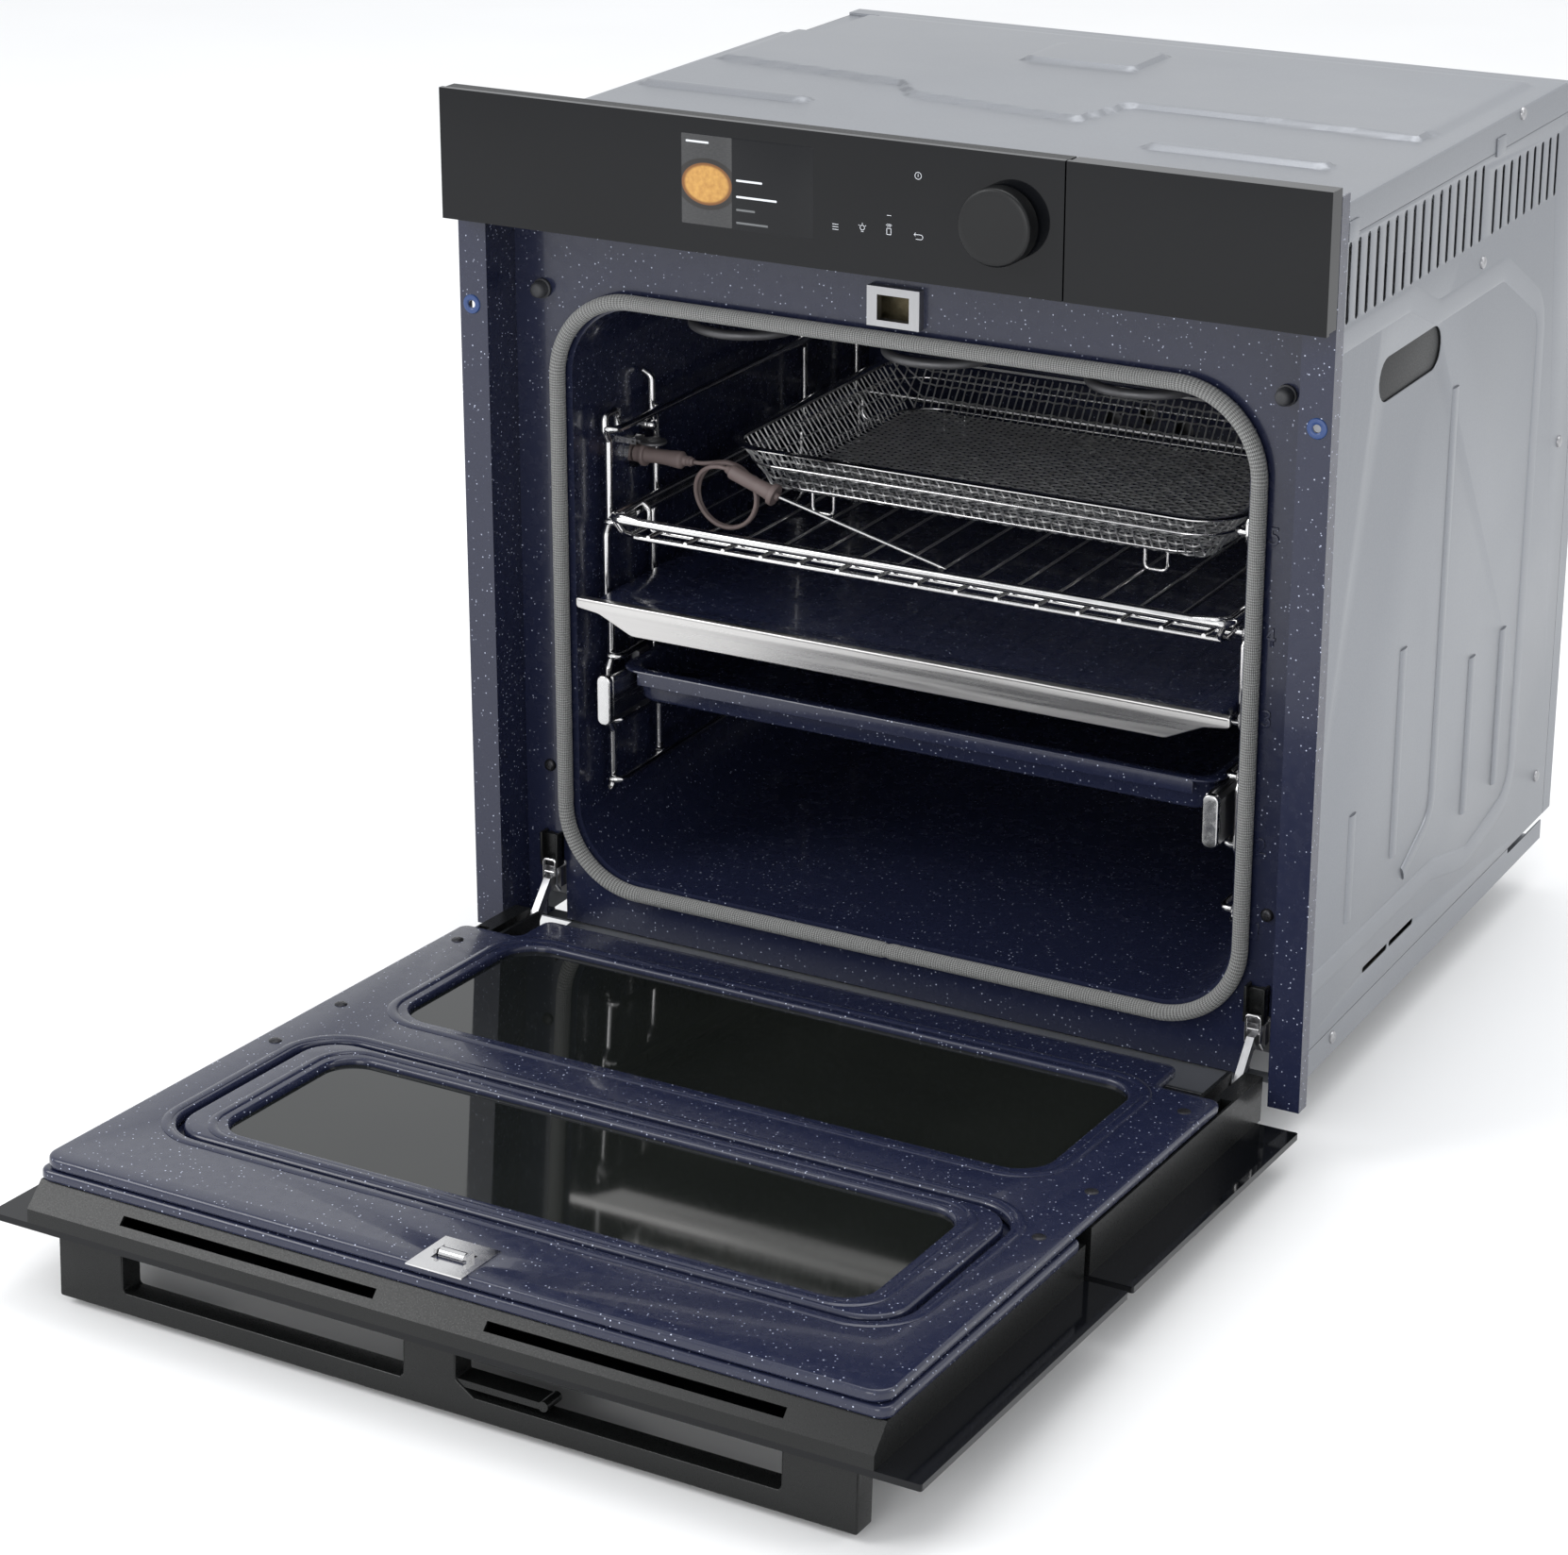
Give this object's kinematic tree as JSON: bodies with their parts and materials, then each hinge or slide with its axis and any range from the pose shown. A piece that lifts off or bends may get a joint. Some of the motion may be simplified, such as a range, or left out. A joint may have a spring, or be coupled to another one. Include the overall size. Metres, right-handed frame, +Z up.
{
  "type": "wall oven",
  "caption": "Built-in steam wall oven with a split drop-down door, dial panel, water drawer, racks, divider, tray, mesh basket and food probe.",
  "frame": {"origin": "centre of the line where the front strips' plane meets the shelf, on the underside of the base", "axes": "+X to the right seen from the front, +Y into the oven, +Z up"},
  "size_m": [0.595, 1.0437, 0.6071],
  "materials": {
    "enamel": "glossy navy enamel with fine white speckles",
    "body_sheet": "galvanised sheet, satin",
    "chrome_wire": "polished wire",
    "seal_braid": "grey glass-fibre braid",
    "black_glass": "black-backed glass, gloss",
    "window_glass": "tinted heat-reflecting glass",
    "black_metal": "satin black paint",
    "black_plastic": "moulded, matte",
    "dial_black": "soft matte",
    "probe_brown": "silicone, mauve brown",
    "divider_steel": "brushed along its length",
    "bright_steel": "zinc plated",
    "fan_steel": "plain",
    "stop_rubber": "matte",
    "mineral_wool": "blanket",
    "board": "circuit board and display module",
    "tank_clear": "translucent",
    "lamp_glass": "ribbed",
    "heater_steel": "oxidised"
  },
  "bodies": {
    "oven": {"front_frame": "enamel", "door_seal": "seal_braid", "cavity_liner": "enamel", "insulation": "mineral_wool", "side_panel_left": "body_sheet", "side_panel_right": "body_sheet", "top_cover": "body_sheet", "back_panel": "body_sheet", "duct_cover": "body_sheet", "base_plate": "body_sheet", "side_rack_left": "chrome_wire", "side_rack_right": "chrome_wire", "latch_receiver": "bright_steel", "hinge_left": "bright_steel", "hinge_right": "bright_steel", "front_stops": "stop_rubber", "body_screws": "bright_steel", "panel_glass": "black_glass", "panel_frame": "black_plastic", "control_board": "board", "fan_cover": "enamel", "ring_heater": "heater_steel", "fan_motor": "fan_steel", "flat_elements": "heater_steel", "oven_lamp": "lamp_glass", "blower_housing": "fan_steel", "steam_generator": "fan_steel", "drawer_guide": "black_plastic", "power_inlet": "black_plastic", "probe_socket": "bright_steel", "probe_plug": "probe_brown", "probe_cord": "probe_brown", "fixed_rails": "bright_steel"},
    "dial_press": {"dial_shaft": "bright_steel"},
    "dial": {"dial": "dial_black"},
    "water_drawer": {"drawer_front": "black_glass", "water_tank": "tank_clear", "tank_lid": "tank_clear"},
    "shelf": {"wire_shelf": "chrome_wire", "probe_handle": "probe_brown"},
    "basket": {"mesh_basket": "chrome_wire"},
    "divider": {"divider_bar": "divider_steel", "divider_plate": "enamel"},
    "tray": {"baking_tray": "enamel", "sliding_rails": "bright_steel"},
    "probe_cap": {"probe_cap": "bright_steel"},
    "convection_fan": {"convection_fan": "fan_steel"},
    "cooling_fan": {"cooling_fan": "fan_steel"},
    "door": {"door_panel": "enamel", "door_window": "window_glass", "door_glass": "black_glass", "door_frame": "black_metal", "latch_plate": "bright_steel"},
    "latch_roller": {"latch_roller": "bright_steel"},
    "flap": {"flap_glass": "black_glass", "flap_panel": "enamel", "flap_window": "window_glass", "flap_frame": "black_metal", "handle": "black_metal"},
    "flap_lever": {"flap_lever": "black_metal"}
  },
  "joints": [
    {"name": "door_hinge", "type": "hinge", "parent": "oven", "child": "door", "pos_m": [0.255, -0.009, -0.0058], "axis": [1, 0, 0], "range_deg": [-86.9, 0]},
    {"name": "flap_hinge", "type": "hinge", "parent": "door", "child": "flap", "pos_m": [0.255, -0.24847, 0.00116], "axis": [1, 0, 0], "range_deg": [0, 90]},
    {"name": "flap_lever_squeeze", "type": "hinge", "parent": "flap", "child": "flap_lever", "pos_m": [0.0125, -0.48623, -0.011], "axis": [0, -0.9985, 0.0541], "range_deg": [-3, 0], "stiffness_Nm_per_rad": 2},
    {"name": "latch_roll", "type": "hinge", "parent": "door", "child": "latch_roller", "pos_m": [0, -0.47431, 0.05275], "axis": [1, 0, 0], "continuous": true},
    {"name": "dial_push", "type": "slide", "parent": "oven", "child": "dial_press", "axis": [0, 1, 0], "range_m": [0, 0.0015], "stiffness_N_per_m": 2000},
    {"name": "dial_turn", "type": "hinge", "parent": "dial_press", "child": "dial", "pos_m": [0.0953, -0.02, 0.535], "axis": [0, -1, 0], "continuous": true},
    {"name": "drawer_slide", "type": "slide", "parent": "oven", "child": "water_drawer", "axis": [0, -1, 0], "range_m": [0, 0.25]},
    {"name": "shelf_slide", "type": "slide", "parent": "oven", "child": "shelf", "axis": [0, -1, 0], "range_m": [0, 0.2], "deforming": ["probe_cord"]},
    {"name": "basket_lift", "type": "slide", "parent": "shelf", "child": "basket", "axis": [0, 0, 1], "range_m": [0, 0.045]},
    {"name": "divider_slide", "type": "slide", "parent": "oven", "child": "divider", "axis": [0, -1, 0], "range_m": [0, 0.2]},
    {"name": "tray_slide", "type": "slide", "parent": "oven", "child": "tray", "axis": [0, -1, 0], "range_m": [0, 0.28]},
    {"name": "probe_cap_hinge", "type": "hinge", "parent": "oven", "child": "probe_cap", "pos_m": [-0.229, 0.105, 0.325], "axis": [0, -1, 0], "range_deg": [0, 50]},
    {"name": "convection_fan_spin", "type": "hinge", "parent": "oven", "child": "convection_fan", "pos_m": [0, 0.435, 0.2375], "axis": [0, -1, 0], "continuous": true},
    {"name": "cooling_fan_spin", "type": "hinge", "parent": "oven", "child": "cooling_fan", "pos_m": [-0.1, 0.358, 0.52], "axis": [1, 0, 0], "continuous": true}
  ]
}
